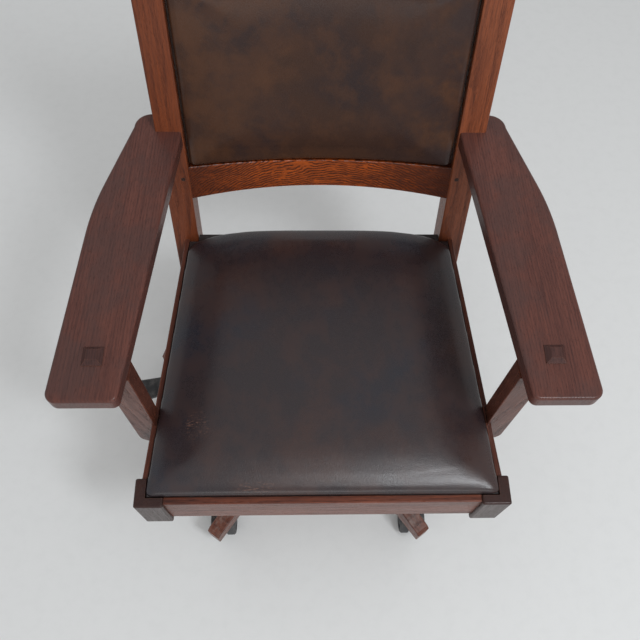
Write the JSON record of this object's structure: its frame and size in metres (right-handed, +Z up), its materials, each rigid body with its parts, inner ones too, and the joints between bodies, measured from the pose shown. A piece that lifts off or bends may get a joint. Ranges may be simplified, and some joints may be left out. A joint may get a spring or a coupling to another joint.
{
  "type": "desk chair",
  "caption": "Wooden swivel desk armchair with leather seat and back, flat arms, star base on twin-wheel casters, gas height lift and spring tilt.",
  "frame": {"origin": "on the floor, midway between the front faces of the seat's corner blocks and the rearmost edge of the rear caster, on the chair's middle plane", "axes": "+X across the chair to the picture's right, +Y to the chair's back, +Z up"},
  "size_m": [0.688, 0.6662, 0.96],
  "materials": {
    "oak": "satin",
    "plywood": "matte",
    "seat_leather": "satin",
    "back_leather": "satin",
    "black_metal": "satin",
    "chrome": "gloss",
    "steel": "satin",
    "black_plastic": "matte",
    "wheel_plastic": "satin"
  },
  "bodies": {
    "base": {"base_hub": "oak", "base_leg_1": "oak", "base_leg_2": "oak", "base_leg_3": "oak", "base_leg_4": "oak", "base_leg_5": "oak", "hub_plate": "black_metal", "leg_screws": "steel", "column_tube": "black_metal", "column_bushing": "black_plastic", "caster_stems": "steel"},
    "rod": {"piston_rod": "steel", "thrust_bearing": "steel"},
    "lift": {"pressure_tube": "chrome", "mechanism_housing": "black_metal", "tilt_pin": "steel", "tension_spring": "steel"},
    "lever": {"lever_rod": "steel", "lever_paddle": "black_plastic"},
    "valve": {"valve_button": "black_plastic"},
    "seat": {"cross_pin": "steel", "seat_plate": "black_metal", "plate_screws": "steel", "seat_bearer_left": "oak", "seat_bearer_right": "oak", "seat_front_rail": "oak", "seat_side_rail_left": "oak", "seat_side_rail_right": "oak", "seat_rear_rail": "oak", "corner_block_left": "oak", "corner_block_right": "oak", "corner_braces": "oak", "seat_board": "plywood", "seat_cushion": "seat_leather", "back_post_left": "oak", "back_post_right": "oak", "lower_back_rail": "oak", "top_back_rail": "oak", "back_board": "back_leather", "back_cushion": "back_leather", "arm_left": "oak", "arm_right": "oak", "arm_support_left": "oak", "arm_support_right": "oak", "arm_pegs": "oak", "rail_pins": "oak", "frame_screws": "steel"},
    "bolt": {"tension_bolt": "steel"},
    "washer": {"spring_washer": "steel"},
    "knob": {"tension_knob": "black_plastic"},
    "caster_1": {"caster_1_hood": "black_plastic"},
    "wheels_1": {"caster_1_wheels": "wheel_plastic"},
    "caster_2": {"caster_2_hood": "black_plastic"},
    "wheels_2": {"caster_2_wheels": "wheel_plastic"},
    "caster_3": {"caster_3_hood": "black_plastic"},
    "wheels_3": {"caster_3_wheels": "wheel_plastic"},
    "caster_4": {"caster_4_hood": "black_plastic"},
    "wheels_4": {"caster_4_wheels": "wheel_plastic"},
    "caster_5": {"caster_5_hood": "black_plastic"},
    "wheels_5": {"caster_5_wheels": "wheel_plastic"}
  },
  "joints": [
    {"name": "swivel", "type": "hinge", "parent": "base", "child": "rod", "pos_m": [0, -0.03305, 0.3], "axis": [0, 0, 1], "continuous": true},
    {"name": "height_slide", "type": "slide", "parent": "rod", "child": "lift", "axis": [0, 0, 1], "range_m": [0, 0.1]},
    {"name": "tilt", "type": "hinge", "parent": "lift", "child": "seat", "pos_m": [0, -0.07105, 0.342], "axis": [-1, 0, 0], "range_deg": [0, 14], "stiffness_Nm_per_rad": 60, "springref_deg": -20.05, "deforming": ["tension_spring"]},
    {"name": "bolt_hang", "type": "hinge", "parent": "seat", "child": "bolt", "pos_m": [0, -0.14805, 0.348], "axis": [-1, 0, 0], "range_deg": [-14, 0]},
    {"name": "washer_slide", "type": "slide", "parent": "bolt", "child": "washer", "axis": [0, 0, 1], "range_m": [0, 0.004]},
    {"name": "tension_knob_turn", "type": "hinge", "parent": "washer", "child": "knob", "pos_m": [0, -0.14805, 0.24], "axis": [0, 0, 1], "range_deg": [0, 720]},
    {"name": "lever_lift", "type": "hinge", "parent": "lift", "child": "lever", "pos_m": [-0.03667, -0.04301, 0.34595], "axis": [-0.2622, 0.965, 0], "range_deg": [0, 4], "stiffness_Nm_per_rad": 2, "springref_deg": -6.88},
    {"name": "valve_press", "type": "slide", "parent": "lift", "child": "valve", "axis": [0, 0, -1], "range_m": [0, 0.0027]},
    {"name": "caster_1_swivel", "type": "hinge", "parent": "base", "child": "caster_1", "pos_m": [0, 0.28495, 0.055], "axis": [0, 0, 1], "continuous": true},
    {"name": "wheels_1_spin", "type": "hinge", "parent": "caster_1", "child": "wheels_1", "pos_m": [0, 0.30495, 0.025], "axis": [1, 0, 0], "continuous": true},
    {"name": "caster_2_swivel", "type": "hinge", "parent": "base", "child": "caster_2", "pos_m": [-0.30244, 0.06522, 0.055], "axis": [0, 0, 1], "continuous": true},
    {"name": "wheels_2_spin", "type": "hinge", "parent": "caster_2", "child": "wheels_2", "pos_m": [-0.30244, 0.08522, 0.025], "axis": [1, 0, 0], "continuous": true},
    {"name": "caster_3_swivel", "type": "hinge", "parent": "base", "child": "caster_3", "pos_m": [-0.18692, -0.29032, 0.055], "axis": [0, 0, 1], "continuous": true},
    {"name": "wheels_3_spin", "type": "hinge", "parent": "caster_3", "child": "wheels_3", "pos_m": [-0.18692, -0.27032, 0.025], "axis": [1, 0, 0], "continuous": true},
    {"name": "caster_4_swivel", "type": "hinge", "parent": "base", "child": "caster_4", "pos_m": [0.18692, -0.29032, 0.055], "axis": [0, 0, 1], "continuous": true},
    {"name": "wheels_4_spin", "type": "hinge", "parent": "caster_4", "child": "wheels_4", "pos_m": [0.18692, -0.27032, 0.025], "axis": [1, 0, 0], "continuous": true},
    {"name": "caster_5_swivel", "type": "hinge", "parent": "base", "child": "caster_5", "pos_m": [0.30244, 0.06522, 0.055], "axis": [0, 0, 1], "continuous": true},
    {"name": "wheels_5_spin", "type": "hinge", "parent": "caster_5", "child": "wheels_5", "pos_m": [0.30244, 0.08522, 0.025], "axis": [1, 0, 0], "continuous": true}
  ],
  "couplings": [
    {"joint": "bolt_hang", "follows": "tilt", "ratio": -1},
    {"joint": "washer_slide", "follows": "tension_knob_turn", "m_per_rad": 0.00031831},
    {"joint": "valve_press", "follows": "lever_lift", "m_per_rad": 0.038}
  ]
}
